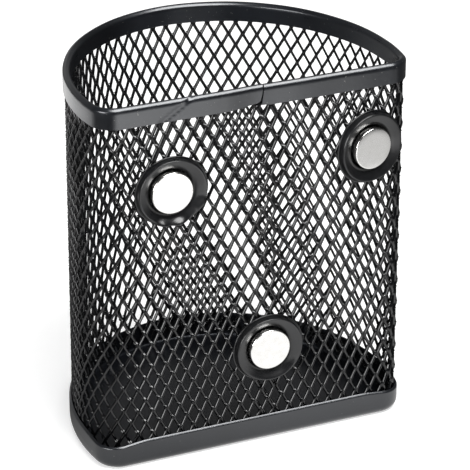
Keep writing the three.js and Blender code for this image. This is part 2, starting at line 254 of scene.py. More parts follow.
def add_node(tree, kind, settings=(), links=()):
    """Adds a node. A setting or link names an input, by name or number, or else a property."""
    made = tree.nodes.new(kind)
    for name, value in dict(settings).items():
        if isinstance(name, int) or name in made.inputs:
            made.inputs[name].default_value = value
        else:
            setattr(made, name, value)
    for name, socket in dict(links).items():
        tree.links.new(socket, made.inputs[name])
    return made


def per_metre(size_mm):
    """The noise scale whose features are about size_mm across, in metres' coordinates."""
    return 1 / (size_mm * MM)


def new_material(name, shader_settings):
    """A material with one principled shader, and its tree, shader and object coordinates."""
    material = bpy.data.materials.new(name)
    material.use_nodes = True
    tree = material.node_tree
    tree.nodes.clear()
    shader = add_node(tree, "ShaderNodeBsdfPrincipled", shader_settings)
    output = add_node(tree, "ShaderNodeOutputMaterial")
    tree.links.new(shader.outputs["BSDF"], output.inputs["Surface"])
    where = add_node(tree, "ShaderNodeTexCoord").outputs["Object"]
    return material, tree, shader, where


print("a noise of 1 mm has a scale of", per_metre(1))

# %% Patterns that both finishes share
# Noise gathers round its middle, so this range carries its spread to the full range from 0 to 1
SPREAD = {"From Min": 0.3, "From Max": 0.7}
print("the spread of a noise:", SPREAD)


def two_tones(tree, where, size_mm, dark, light):
    """A cloudy noise of that size, and the mix of two colours whose share is its spread."""
    cloud = add_node(tree, "ShaderNodeTexNoise", {"Scale": per_metre(size_mm), "Detail": 3},
                     {"Vector": where}).outputs["Fac"]
    share = add_node(tree, "ShaderNodeMapRange", SPREAD, {"Value": cloud})
    tint = add_node(tree, "ShaderNodeMix", {"data_type": "RGBA", 6: linear(dark), 7: linear(light)},
                    {0: share.outputs["Result"]})
    return cloud, tint.outputs[2]


def ripple(tree, where, size_mm, detail, height_mm):
    """The normal of a surface whose height is a noise of that size times height_mm."""
    waves = add_node(tree, "ShaderNodeTexNoise", {"Scale": per_metre(size_mm), "Detail": detail},
                     {"Vector": where})
    return add_node(tree, "ShaderNodeBump", {"Strength": 1.0, "Distance": height_mm * MM},
                    {"Height": waves.outputs["Fac"]}).outputs["Normal"]


# %% Black baked enamel
PATCH_MM, GRAIN_MM, MARK_MM, STREAK_MM = 14, 0.55, 3.5, 0.7
STREAK_FINENESS = 40
SPECK_FROM, SPECK_FULL = 0.74, 0.8
DUST_GREY = "#8d8d88"
THIN_SHARE = 0.1


def enamel_colour(tree, where, dark, light, dust):
    """Two near blacks that change over centimetres, with a few grey specks of dust. The specks are the
    peaks of a fine noise: none below SPECK_FROM, and the dust's full share from SPECK_FULL."""
    tint = two_tones(tree, where, PATCH_MM, dark, light)[1]
    grains = add_node(tree, "ShaderNodeTexNoise", {"Scale": per_metre(GRAIN_MM), "Detail": 1},
                      {"Vector": where})
    specks = add_node(tree, "ShaderNodeMapRange", {"From Min": SPECK_FROM, "From Max": SPECK_FULL,
                                                   "To Max": dust}, {"Value": grains.outputs["Fac"]})
    dusty = add_node(tree, "ShaderNodeMix", {"data_type": "RGBA", 7: linear(DUST_GREY)},
                     {0: specks.outputs["Result"], 6: tint})
    return dusty.outputs[2]


def enamel_gloss(tree, where, smooth, rough, streaks):
    """Roughness between smooth and rough: cloudy handling marks, and on rolled strip also level
    streaks, which are noise STREAK_FINENESS times finer upwards than along. Streaks is their share."""
    marks = add_node(tree, "ShaderNodeTexNoise", {"Scale": per_metre(MARK_MM), "Detail": 4},
                     {"Vector": where})
    along = 1 / STREAK_FINENESS
    flat = add_node(tree, "ShaderNodeMapping", {"Scale": (along, along, 1)}, {"Vector": where})
    lines = add_node(tree, "ShaderNodeTexNoise", {"Scale": per_metre(STREAK_MM), "Detail": 3},
                     {"Vector": flat.outputs["Vector"]})
    mixed = add_node(tree, "ShaderNodeMix", {"data_type": "FLOAT", 0: streaks},
                     {2: marks.outputs["Fac"], 3: lines.outputs["Fac"]})
    return add_node(tree, "ShaderNodeMapRange", {**SPREAD, "To Min": smooth, "To Max": rough},
                    {"Value": mixed.outputs[0]}).outputs["Result"]


def thin_coat(tree, coat):
    """The coat's weight where paint was sprayed from outside. It lies thin on faces that look inward,
    which the mesh's own attribute tells: there, THIN_SHARE of it is left."""
    inward = add_node(tree, "ShaderNodeAttribute", {"attribute_name": "inward"}).outputs["Fac"]
    return add_node(tree, "ShaderNodeMapRange", {"To Min": coat, "To Max": THIN_SHARE * coat},
                    {"Value": inward}).outputs["Result"]


def baked_enamel(name, dark, light, smooth, rough, peel_mm, peel_height_mm, level, coat, coat_rough,
                 dust=0.0, streaks=0.0, sheen="#ffffff", thin_inside=False):
    """Enamel baked on steel: near black and glossy, with an orange peel that a bump of peel_height_mm
    carries, a blurred mirror image of strength level, tinted by the sheen, and a clear coat over it."""
    settings = {"IOR": 1.55, "Specular IOR Level": level, "Specular Tint": linear(sheen),
                "Coat Weight": coat, "Coat Roughness": coat_rough, "Coat IOR": 1.6}
    material, tree, shader, where = new_material(name, settings)
    peel = ripple(tree, where, peel_mm, 1, peel_height_mm)
    tree.links.new(enamel_colour(tree, where, dark, light, dust), shader.inputs["Base Color"])
    tree.links.new(enamel_gloss(tree, where, smooth, rough, streaks), shader.inputs["Roughness"])
    tree.links.new(peel, shader.inputs["Normal"])
    tree.links.new(peel, shader.inputs["Coat Normal"])
    if thin_inside:
        tree.links.new(thin_coat(tree, coat), shader.inputs["Coat Weight"])
    return material


# The mesh is dipped, so its strands carry a glossy coat that catches lamps as sharp white glints, and
# the paint under it hardly shines, which keeps them black in between
MESH_ENAMEL = baked_enamel("black enamel on expanded steel", "#060607", "#0c0d0f", 0.12, 0.22, 0.5, 0.004,
                           level=0.15, coat=0.65, coat_rough=0.08)

# The rim strip and the pan are rolled and sprayed, which blurs what they mirror, streaks it level and
# leaves their inner faces dull
SHEET_ENAMEL = baked_enamel("black enamel on sheet steel", "#0e0f12", "#16181c", 0.26, 0.4, 0.9, 0.01,
                            level=0.33, coat=1.0, coat_rough=0.22, dust=0.5, streaks=0.7, sheen="#dde4ef",
                            thin_inside=True)

# The cups are pressed and get a thin coat, so that they stay dark but for a soft glint on a bend
CUP_ENAMEL = baked_enamel("black enamel on pressed cups", "#0a0a0c", "#121315", 0.26, 0.4, 0.7, 0.006,
                          level=0.5, coat=0.2, coat_rough=0.16)
print("enamels:", MESH_ENAMEL.name, "|", SHEET_ENAMEL.name, "|", CUP_ENAMEL.name)

# %% Where the paint is thin
def mark_inward(piece, values):
    """Write the attribute that the thin paint reads: 1 where a point of the mesh faces inward, else 0."""
    attribute = piece.data.attributes.new("inward", "FLOAT", "POINT")
    attribute.data.foreach_set("value", values)
    print(piece.name, "has thin paint on", int(np.sum(np.asarray(values) > 0.5)), "of its points")


# %% Bright nickel
MOTTLE_MM, RIPPLE_MM, RIPPLE_HEIGHT_MM = 1.6, 0.8, 0.0005
SMOOTH, ROUGH = 0.14, 0.24


def bright_nickel(name):
    """Nickel plated on a ground magnet: a pale mirror, mottled over a millimetre or two. One noise
    gives both its tone and its roughness."""
    material, tree, shader, where = new_material(name, {"Metallic": 1.0})
    mottle, tint = two_tones(tree, where, MOTTLE_MM, "#eae9e6", "#f5f4f2")
    gloss = add_node(tree, "ShaderNodeMapRange", {**SPREAD, "To Min": SMOOTH, "To Max": ROUGH},
                     {"Value": mottle})
    tree.links.new(tint, shader.inputs["Base Color"])
    tree.links.new(gloss.outputs["Result"], shader.inputs["Roughness"])
    tree.links.new(ripple(tree, where, RIPPLE_MM, 2, RIPPLE_HEIGHT_MM), shader.inputs["Normal"])
    return material


NICKEL = bright_nickel("bright nickel plating")
print("plating:", NICKEL.name)

# %% [markdown]
# ## The mesh wall
# Expanded metal starts as a sheet with rows of short slits. Pulled sideways, each slit opens into a
# diamond. What was the strip of metal between two columns of slits becomes a long strand that weaves
# from side to side, and touches its left and its right neighbour by turns. Where two strands touch
# they are one piece of metal, the knuckle. Pulling also turns the knuckles out of the sheet's plane,
# and that turn is what gives the mesh its depth and its glint: the limbs that lean right turn a face
# to the lamp on the left and shine, and the limbs that lean left mirror the dim floor.
#
# So the wall is a row of strands, each a flat bar swept up a wave. A modifier that repeats one diamond
# could do it, but the pitch has to fit the D exactly, and the sheet's two ends lap in the middle of
# the flat face, so the wave is computed for all strands at once.

# %% Pitch and place of the knuckles
# The pitch is a little wider to the right of the joint than to its left, and each side starts where
# its first knuckle lies
DIAMOND_UP = 6.35
KNUCKLE_HEIGHT_AT = 11.55
RIGHT_FIRST, RIGHT_PITCH = 0.14, 3.83
LEFT_LAST, LEFT_PITCH = 5.13, 3.74
RIGHT_COLUMNS, LEFT_COLUMNS = 19, 22
ROWS = np.arange(-3, 16)


def column_places():
    """Distances round the D of the columns of knuckles, two to a diamond: the right of the flat face
    at its own pitch, then the bow with the whole number of diamonds that fits best, then the left."""
    right = RIGHT_FIRST + RIGHT_PITCH / 2 * np.arange(RIGHT_COLUMNS + 1)
    left = ROUND + LEFT_LAST - LEFT_PITCH / 2 * np.arange(LEFT_COLUMNS + 1)[::-1]
    span = left[0] - right[-1]
    diamonds = round(span / ((RIGHT_PITCH + LEFT_PITCH) / 2))
    bow = np.linspace(right[-1], left[0], 2 * diamonds + 1)
    return np.concatenate([right, bow[1:-1], left])


COLUMNS = column_places()
MIDDLE_COLUMN = len(COLUMNS) // 2
BOW_PITCH = COLUMNS[MIDDLE_COLUMN + 2] - COLUMNS[MIDDLE_COLUMN]
print(len(COLUMNS), "columns of knuckles, pitch on the bow", round(BOW_PITCH, 3), "mm")

# %% The weave of one strand
STRAND_WIDTH = 0.72
STRAND_THICK = 0.56
STRAND_EDGE = 0.07
KNUCKLE_OVERLAP = 0.08
KNUCKLE_TURN = math.radians(45)
WEAVE_BLUNTNESS = 0.08
RING_PHASES = np.array([0, 0.04, 0.09, 0.41, 0.46, 0.5, 0.54, 0.59, 0.91, 0.96])


def weave(height):
    """A triangle wave of height with blunt tips, the arcsine of a cosine just short of 1: 1 at the
    knuckles of even columns, -1 at those of odd ones. Returns it with how fast it changes."""
    angle = 2 * math.pi * (height - KNUCKLE_HEIGHT_AT) / DIAMOND_UP
    share = 1 - WEAVE_BLUNTNESS
    full = math.asin(share)
    slope = -share * np.sin(angle) / np.sqrt(1 - (share * np.cos(angle)) ** 2) / full
    return np.arcsin(share * np.cos(angle)) / full, slope * 2 * math.pi / DIAMOND_UP


def bar_section():
    """The corners of a flat bar with eased edges, as steps along its width and its thickness."""
    wide, thick, ease = STRAND_WIDTH / 2, STRAND_THICK / 2, STRAND_EDGE
    corner = [(wide - ease, thick), (wide, thick - ease)]
    quarter = corner + [(x, -y) for x, y in corner[::-1]]
    return np.array(quarter + [(-x, y) for x, y in quarter[::-1]])


def strand_points(numbers, heights):
    """Strands by number, as bars in the flat sheet's own axes: across, up and out. Each strand's
    middle swings between its neighbours, and its section is square to the way it runs."""
    left, right = COLUMNS[numbers], COLUMNS[numbers + 1]
    turn = np.array([math.cos(KNUCKLE_TURN), 0, math.sin(KNUCKLE_TURN)])
    half = STRAND_WIDTH / 2 - KNUCKLE_OVERLAP
    reach = ((right - left) / 2 - half * turn[0])[:, None]
    side = np.where(numbers % 2 == 0, -1.0, 1.0)[:, None]
    wave, slope = (side * part for part in weave(heights))
    depth = -half * turn[2]
    middle = np.stack([(left + right)[:, None] / 2 + wave * reach, heights + 0 * wave, wave * depth], -1)
    along = np.stack([slope * reach, np.ones_like(slope), slope * depth], -1)
    along /= np.linalg.norm(along, axis=-1, keepdims=True)
    width = turn - (along @ turn)[..., None] * along
    width /= np.linalg.norm(width, axis=-1, keepdims=True)
    thickness = np.cross(along, width)
    section = bar_section()
    return (middle[:, :, None] + width[:, :, None] * section[:, :1]
            + thickness[:, :, None] * section[:, 1:])


print("a strand's bar:", STRAND_WIDTH, "by", STRAND_THICK, "mm,", len(bar_section()), "corners")

# %% Bend the sheet round the D
# Where rim and pan hold the mesh and how flat they press it, how far and where the ends step apart,
# and the heights between which the soft corner turns sharp
MESH_LOW, MESH_HIGH, END_SPARE = 2.5, 98.9, 0.2
HELD_LOW, HELD_HIGH, HELD_EASE = 6.0, 95.2, 4
HELD_FLAT = 0.82
LAP_IN, LAP_IN_FROM, LAP_IN_TO = 0.7, 5.5, 12
LAP_OUT, LAP_OUT_FROM, LAP_OUT_TO = 0.35, 6, 0.5
SOFT_LOW, SOFT_HIGH = 72.0, 95.0


def smooth_step(value, start, end):
    """0 before start, 1 after end, and a smooth rise between."""
    t = np.clip((value - start) / (end - start), 0, 1)
    return t * t * (3 - 2 * t)


def soft_distance(across):
    """Distance round the sharp D to distance round the soft one: equal on the flat face, and a little
    closer on the bow, so that both ways round come to the same whole."""
    spare = (ROUND - SOFT_ROUND) / 2
    at = np.mod(across, ROUND)
    from_face = np.minimum(at, ROUND - at)
    short = from_face - spare * smooth_step(from_face, SOFT_FLAT_HALF, ROUND / 2)
    return np.where(at > ROUND / 2, SOFT_ROUND - short, short)


def wall_points(sheet):
    """Sheet axes to the holder's: across is distance round the D. The rim bends the mesh sharply at
    the front corners, and lower down the left one springs back to a soft bend. Rim and pan also press
    the mesh flatter, and between them its two ends step apart, one under and one over the other."""
    across, up, out = np.moveaxis(sheet, -1, 0)
    free = (smooth_step(up, HELD_LOW, HELD_LOW + HELD_EASE)
            * (1 - smooth_step(up, HELD_HIGH - HELD_EASE, HELD_HIGH)))
    under = LAP_IN * (1 - smooth_step(across, LAP_IN_FROM, LAP_IN_TO))
    over = LAP_OUT * smooth_step(across, ROUND - LAP_OUT_FROM, ROUND - LAP_OUT_TO)
    out = out * (HELD_FLAT + (1 - HELD_FLAT) * free) + (over - under) * free
    sharp = np.stack(on_plan(across, MESH_INSET - out))
    soft = np.stack(on_plan(soft_distance(across), MESH_INSET - out, SOFT))
    on_left = np.mod(across, ROUND) > ROUND / 2
    x, y = sharp + (soft - sharp) * (1 - smooth_step(up, SOFT_LOW, SOFT_HIGH)) * on_left
    return np.stack([x, y, up], -1)


def ring_heights():
    """Heights of a strand's rings: closer where it bends, and the same for even and odd strands."""
    heights = (KNUCKLE_HEIGHT_AT + DIAMOND_UP * (ROWS[:, None] + RING_PHASES)).ravel()
    inside = heights[(heights > MESH_LOW + END_SPARE) & (heights < MESH_HIGH - END_SPARE)]
    return np.concatenate([[MESH_LOW], inside, [MESH_HIGH]])


def for_copies(faces, count, points_each):
    """The same faces for a number of copies whose points follow each other."""
    start = (np.arange(count) * points_each)[:, None, None]
    return (faces[None] + start).reshape(-1, faces.shape[1])


def strand_faces(strands, rings, corners):
    """The sides and the two end caps of each strand."""
    ring = np.arange(corners)
    ends = np.stack([ring[::-1], ring + (rings - 1) * corners])
    return [for_copies(block, strands, rings * corners) for block in (grid_faces(rings, corners), ends)]


print("each strand has", len(ring_heights()), "rings")

# %% [markdown]
# The pull leaves a small web of metal at the foot of each diamond, where the slit ended. It is drawn
# down to the right and faces up and forward, so each one throws a short glint. A web is a lens of
# twenty-four faces, half sunk in the strands.

# %% Webs at the feet of the diamonds
# Half the web's length, width and thickness, its two turns, its place from the knuckle's middle, and
# how far it keeps from the mesh's lower and upper edge
WEB_HALF = np.array([0.7, 0.42, 0.1])
WEB_LEAN = math.radians(-45)
WEB_PITCH = math.radians(45)
WEB_AT = np.array([-0.58, 1.02, 0.3])
WEB_RINGS, WEB_SIDES = 3, 6
WEB_POINTS = WEB_RINGS * WEB_SIDES + 2
WEB_ABOVE, WEB_BELOW = 1, 2


def web_points(columns):
    """Lenses in sheet axes, each with its rings and then its two end points. A lens starts flat in the
    sheet, leans until its long axis points down to the right, and is then pitched back until it faces
    up and out. Odd columns have their knuckles half a diamond higher."""
    polar = np.linspace(0, math.pi, WEB_RINGS + 2)[1:-1, None]
    round_it = np.arange(WEB_SIDES) * 2 * math.pi / WEB_SIDES
    rings = np.stack([np.cos(polar) + 0 * round_it, np.sin(polar) * np.cos(round_it),
                      np.sin(polar) * np.sin(round_it)], -1).reshape(-1, 3)
    lens = np.concatenate([rings, [[1, 0, 0], [-1, 0, 0]]]) * WEB_HALF
    lean = np.array(Matrix.Rotation(WEB_LEAN, 3, "Z"))
    pitch = np.array(Matrix.Rotation(-WEB_PITCH, 3, "X"))
    lens = lens @ (pitch @ lean).T + WEB_AT
    rows = KNUCKLE_HEIGHT_AT + DIAMOND_UP * ROWS
    up = rows[None] + DIAMOND_UP / 2 * (columns % 2)[:, None]
    feet = np.stack([COLUMNS[columns][:, None] + 0 * up, up, 0 * up], -1).reshape(-1, 1, 3)
    inside = (feet[..., 1] > MESH_LOW + WEB_ABOVE) & (feet[..., 1] < MESH_HIGH - WEB_BELOW)
    return feet[inside[:, 0]] + lens


def web_faces(count):
    """The same faces for every lens: bands between its rings, and a fan to each end point."""
    return [for_copies(block, count, WEB_POINTS) for block in pole_faces(WEB_RINGS, WEB_SIDES)]


def crisp_web_ends(piece, first_web_point):
    """Mark as sharp the edges on the first and the last ring of each lens, between its bands and its
    fans. Its middle is then shaded flatter, and its glint is longer."""
    edges = piece.data.edges
    ends, sharp = np.empty(2 * len(edges), int), np.empty(len(edges), bool)
    edges.foreach_get("vertices", ends)
    edges.foreach_get("use_edge_sharp", sharp)
    on_ring = np.where(ends < first_web_point, -1, (ends - first_web_point) % WEB_POINTS // WEB_SIDES)
    start, end = on_ring.reshape(-1, 2).T
    edges.foreach_set("use_edge_sharp", sharp | (start == end) & np.isin(start, (0, WEB_RINGS - 1)))


print("webs on the whole wall:", len(web_points(np.arange(1, len(COLUMNS) - 1))))

# %% Make the wall in three lengths
# Cut at these columns, no length has more than 200,000 triangles
WALL_CUTS = [0, 38, 92, len(COLUMNS) - 1]


def add_wall_length(name, first, last):
    """Strands first to last - 1 with the webs of the columns between them, as one piece. Its faces are
    a little bent where the mesh turns, so an edge counts as sharp from 50 degrees."""
    strands = wall_points(strand_points(np.arange(first, last), ring_heights()))
    webs = wall_points(web_points(np.arange(max(first, 1), last)))
    faces = strand_faces(*strands.shape[:3])
    faces += [block + strands[..., 0].size for block in web_faces(len(webs))]
    points = np.concatenate([strands.reshape(-1, 3), webs.reshape(-1, 3)])
    piece = make_piece(name, points, faces, MESH_ENAMEL, ["mesh_wall"], 50)
    crisp_web_ends(piece, strands[..., 0].size)


for part, (first, last) in enumerate(zip(WALL_CUTS, WALL_CUTS[1:]), 1):
    add_wall_length(f"mesh_wall_strands_{part}", first, last)

# %% [markdown]
# ## The folded rim
# The rim is one strip of thin sheet, folded over the mesh's cut edge so that no wire end can scratch.
# It runs round the D and its two ends butt together on the flat face. It is a profile carried along
# the plan: the fold's middle line gives the profile, and half the sheet's thickness on each side of
# it gives the two faces. A rolled strip is never quite even, so its face waves by a few hundredths
# of a millimetre. At the joint the left end was pinched: it leans in, and its lower edge lifts. To the
# left of it the strip is creased, in a shallow valley that leans.

# %% Profile of the fold
TOP = 100.0
RIM_SHEET = 0.35
RIM_THICK = 2.0
RIM_LOW = 94.6
INNER_LOW = 94.9
FOLD_POWER = 1.5
LEG_POINTS, FOLD_STEPS = 7, 14
END_NOSE = 0.3


def thick_path(path, thickness):
    """A closed outline from an open path: each point moved half the thickness to one side, then to
    the other, with a blunt point at each end that stands out by END_NOSE of the thickness."""
    step = np.gradient(path, axis=0)
    step /= np.linalg.norm(step, axis=1, keepdims=True)
    side = np.stack([-step[:, 1], step[:, 0]], 1) * thickness / 2
    nose = step[-1] * thickness * END_NOSE
    tail = step[0] * thickness * END_NOSE
    return np.concatenate([path + side, [path[-1] + nose], (path - side)[::-1], [path[0] - tail]])


def fold_path():
    """Up the outer leg, over the fold and down the inner leg, as inset and height. The fold is a half
    circle whose cosine and sine are raised to a power a little over 1, which flattens its shoulders
    as the rolling tool did."""
    radius = (RIM_THICK - RIM_SHEET) / 2
    middle, spring = RIM_THICK / 2, TOP - RIM_THICK / 2
    up = np.stack([np.full(LEG_POINTS, middle - radius), np.linspace(RIM_LOW, spring, LEG_POINTS)], 1)
    turn = np.linspace(math.pi, 0, FOLD_STEPS + 1)[1:-1]
    across = np.sign(np.cos(turn)) * np.abs(np.cos(turn)) ** FOLD_POWER
    over = np.stack([middle + radius * across, spring + radius * np.sin(turn) ** FOLD_POWER], 1)
    down = np.stack([np.full(LEG_POINTS, middle + radius), np.linspace(spring, INNER_LOW, LEG_POINTS)], 1)
    return np.concatenate([up, over, down])


print("the fold's profile has", len(thick_path(fold_path(), RIM_SHEET)), "points")

# %% Carry the fold round the D
# The joint's place, gap, lean and reach
JOINT_AT, JOINT_GAP, JOINT_LEAN, JOINT_REACH = 1.0, 0.25, 0.13, 10
# How far each end is pinched in, and its lower edge lifted over how long a stretch
PINCH_RIGHT, LIFT_RIGHT, LIFT_RIGHT_REACH = 0.08, 0.25, 3
PINCH_LEFT, LIFT_LEFT, LIFT_LEFT_REACH = 0.32, 0.75, 9
END_ROUND, END_ROUND_REACH = 0.5, 1.2
# Middle height of the strip and of the crease, the waves' height and lengths, and the crease
STRIP_MIDDLE, CREASE_MIDDLE = 97.5, 97
LIFT_FULL_BELOW = 2.9
WAVE_HEIGHT, WAVE_LENGTH, SHORT_WAVE_LENGTH = 0.03, 5.3, 2.9
CREASE_AT, CREASE_WIDTH, CREASE_DEPTH, CREASE_LEAN = 23.4, 0.7, 0.2, 1.5
# Rings on each stretch, and how far past the flat face the close rings of a corner go
END_RINGS = [0, 0.15, 0.4, 0.8]
FLAT_FROM, FLAT_RINGS, CORNER_RINGS, BOW_RINGS = 1.4, 110, 19, 96
CORNER_REACH = 9
BOW_FROM, BOW_TO = 1.6, 3.6
# Insets and heights between which a point of the profile comes to lie on the inner leg
INNER_FROM, INNER_TO, LEG_TO, LEG_FROM = 1.2, 1.8, 98.6, 99.4


def rim_stations():
    """Distances of the rings from the joint: close together at the two ends and in the corners."""
    flat = np.concatenate([END_RINGS, np.linspace(FLAT_FROM, FLAT_HALF - JOINT_AT - 1, FLAT_RINGS)])
    side = np.linspace(FLAT_HALF - JOINT_AT, FLAT_HALF - JOINT_AT + CORNER_REACH, CORNER_RINGS)
    half = np.concatenate([flat, side])
    bow = np.linspace(half[-1] + BOW_FROM, ROUND - half[-1] - BOW_TO, BOW_RINGS)
    back = ROUND - half[::-1]
    return np.concatenate([half, bow, back])


def rim_points():
    """The fold's profile at every station. The joint leans, so the stations near it lean too. The wave
    is a sum of two sines, and the crease a bell curve across a line that leans. Pinch, wave and crease
    add to the inset, and the lift and the rounding of the left end add to the height of the low edge."""
    station = rim_stations()[:, None]
    profile = thick_path(fold_path(), RIM_SHEET)
    inset, height = profile[None, :, 0], profile[None, :, 1]
    from_left = ROUND - station
    near_right = 1 - smooth_step(station, 0, JOINT_REACH)
    near_left = 1 - smooth_step(from_left, 0, JOINT_REACH)
    lean = JOINT_LEAN * (height - STRIP_MIDDLE) * (near_right + near_left)
    gap = JOINT_GAP / 2 * (near_right - near_left)
    wave = WAVE_HEIGHT * (np.sin(station / WAVE_LENGTH) + np.sin(station / SHORT_WAVE_LENGTH + 1))
    pinch = PINCH_LEFT * near_left + PINCH_RIGHT * near_right
    off_crease = from_left - CREASE_AT + CREASE_LEAN * (height - CREASE_MIDDLE)
    crease = CREASE_DEPTH * np.exp(-(off_crease / CREASE_WIDTH) ** 2)
    low = smooth_step(STRIP_MIDDLE - height, 0, LIFT_FULL_BELOW)
    lift = low * (LIFT_LEFT * (1 - smooth_step(from_left, 0, LIFT_LEFT_REACH))
                  + LIFT_RIGHT * (1 - smooth_step(station, 0, LIFT_RIGHT_REACH)))
    round_end = low * END_ROUND * (1 - smooth_step(from_left, 0, END_ROUND_REACH)) ** 2
    x, y = on_plan(JOINT_AT + station + lean + gap, inset + wave + pinch + crease)
    return np.stack([x, y, height + lift + round_end + 0 * x], -1)


def add_rim():
    """The rings joined in a row, and each end of the strip closed by pairs of points across the sheet.
    The paint is thin on the inner leg, below the fold's top."""
    points = rim_points()
    rings, corners = points.shape[:2]
    ring = np.arange(corners)
    half = corners // 2
    pairs = np.stack([ring[:half - 1], ring[1:half], ring[::-1][1:half], ring[::-1][:half - 1]], 1)
    faces = [grid_faces(rings, corners), pairs[:, ::-1], pairs + (rings - 1) * corners]
    rim = make_piece("rim_strip", points, faces, SHEET_ENAMEL, ["top_rim"])
    inset, height = thick_path(fold_path(), RIM_SHEET).T
    inward = smooth_step(inset, INNER_FROM, INNER_TO) * (1 - smooth_step(height, LEG_TO, LEG_FROM))
    mark_inward(rim, np.tile(inward, rings))


add_rim()

# %% [markdown]
# ## The base pan
# The base is pressed from one sheet: a flat floor, a rounded lower edge and an upturned band that the
# mesh stands in. Pressing thins the band at the sharp front corners, and its top edge dips there. The
# whole pan is one grid of D-shaped rings, from the middle of the underside out, up the band, over its
# edge, and back in to the middle of the floor.

# %% Arcs and poles
def arc(centre, radius, start, end, steps):
    """Points on a circle from one angle to another in degrees: the centre plus the radius times the
    angle's cosine and sine."""
    turn = np.radians(np.linspace(start, end, steps + 1))
    return np.array(centre) + radius * np.stack([np.cos(turn), np.sin(turn)], 1)


def close_with_poles(rings, first, last):
    """A row of rings closed by a fan to one more point at each end, as points and faces."""
    return np.concatenate([rings.reshape(-1, 3), [first, last]]), pole_faces(*rings.shape[:2])


print("a quarter circle ends at", arc((0, 0), 1, 0, 90, 8)[-1].round(3))

# %% The pan as rings
# Sizes of the pressed sheet. The band's edge is bevelled, and its points count from the band's top.
PAN_INSET = -0.25
PAN_SHEET = 0.6
PAN_ROUND = 2.5
PAN_INNER_ROUND = 0.8
BAND_TOP = 7.4
CORNER_DIP = 0.9
DIP_REACH = 11
BAND_EDGE = np.array([(0, -0.64), (0.02, -0.5), (0.13, -0.36), (0.3, -0.18), (0.46, -0.02), (0.54, 0),
                      (0.6, -0.1)])
BAND_RINGS = np.linspace(3.5, BAND_TOP - 1.2, 3)
ROUND_STEPS = 8
PAN_MIDDLE = np.array([0, FACE_Y + 22])
FLOOR_SHARES = np.linspace(0.05, 0.95, 10)
THIN_FROM = 0.6
HALF_RINGS = (30, 16, 52)


def pan_profile():
    """Inset and height, share of the full plan, and how thin the paint is, ring by ring. The lower edge
    and the inner corner are quarter circles. The paint is thin inside the band, and full again from
    the floor's share THIN_FROM inwards."""
    middle = PAN_INSET + PAN_ROUND
    outer = arc((middle, PAN_ROUND), PAN_ROUND, -90, -180, ROUND_STEPS)
    inner = arc((PAN_INSET + PAN_SHEET + PAN_INNER_ROUND, PAN_SHEET + PAN_INNER_ROUND),
                PAN_INNER_ROUND, 180, 270, ROUND_STEPS)
    edge = np.array([PAN_INSET, BAND_TOP]) + BAND_EDGE
    band = np.stack([np.full(len(BAND_RINGS), PAN_INSET), BAND_RINGS], 1)
    wall = np.concatenate([outer, band, edge, band[::-1] + [PAN_SHEET, 0], inner])
    under = np.stack([np.full(len(FLOOR_SHARES), middle), np.zeros(len(FLOOR_SHARES))], 1)
    over = under + [0, PAN_SHEET]
    share = np.concatenate([FLOOR_SHARES, np.ones(len(wall)), FLOOR_SHARES[::-1]])
    facing_in = len(band) + len(inner)
    bare = smooth_step(FLOOR_SHARES[::-1], THIN_FROM, 1)
    inward = np.concatenate([np.zeros(len(under) + len(wall) - facing_in), np.ones(facing_in), bare])
    return np.concatenate([under, wall, over]), share, inward


def corner_dip(x, y):
    """A raised cosine of the distance to the middle of the nearer front corner's arc."""
    slant = CORNER_RADIUS * math.sqrt(0.5)
    away = np.hypot(np.abs(x) - FLAT_HALF - slant, y - FACE_Y - CORNER_RADIUS + slant)
    return CORNER_DIP * (0.5 + 0.5 * np.cos(np.pi * np.minimum(away / DIP_REACH, 1)))


def pan_points():
    """The profile at every station round the D. A ring of the floor is the plan shrunk to its share
    about the pan's middle, and the corner's dip fades out down the band."""
    profile, share, inward = pan_profile()
    inset, height = profile[:, :1], profile[:, 1:]
    stops = (0, FLAT_HALF, FLAT_HALF + CORNER_REACH, ROUND / 2)
    at = np.concatenate([np.linspace(start, end, rings)[:-1]
                         for start, end, rings in zip(stops, stops[1:], HALF_RINGS)])
    at = np.concatenate([at, ROUND / 2 + (ROUND / 2 - at[::-1])])[None, :-1]
    x, y = on_plan(at, inset)
    x = PAN_MIDDLE[0] + (x - PAN_MIDDLE[0]) * share[:, None]
    y = PAN_MIDDLE[1] + (y - PAN_MIDDLE[1]) * share[:, None]
    dipped = smooth_step(height, PAN_ROUND + 1, BAND_TOP)
    return np.stack([x, y, height - corner_dip(x, y) * dipped + 0 * x], -1), inward


def add_pan():
    """The rings joined in a row, and a fan at each end: one on the underside and one on the floor."""
    rings, inward = pan_points()
    points, faces = close_with_poles(rings, [*PAN_MIDDLE, 0], [*PAN_MIDDLE, PAN_SHEET])
    pan = make_piece("base_pan_sheet", points, faces, SHEET_ENAMEL, ["base_pan"])
    mark_inward(pan, np.concatenate([np.repeat(inward, rings.shape[1]), [0, 0]]))


add_pan()

# %% [markdown]
# ## Magnets and their cups
# Each magnet is a thick nickel-plated disc in a pressed steel cup. The cup's barrel goes through the
# mesh and its flange spreads in front of it as a shallow dish, with a thin lip at the rim. All of these
# are turned shapes: a profile of radius and height, swept round an axis that stands square on the
# flat face.

# %% Turned shapes
# How far behind the rim's face the heights of the profiles start, and the steps of a full turn
MESH_FRONT = 0.65
AROUND = 96


def bent_out(angle, radius, knocks):
    """How far a flange's edge is bent out: near each knock's angle a raised cosine of its half width,
    which grows from the middle of the flange to its crest."""
    total = 0 * angle
    for at, half_width, height in knocks:
        away = np.abs(np.mod(np.degrees(angle) - at + 180, 360) - 180) / half_width
        total = total + height * (0.5 + 0.5 * np.cos(np.pi * np.minimum(away, 1)))
    return total * smooth_step(radius, BEND_FROM, CREST)


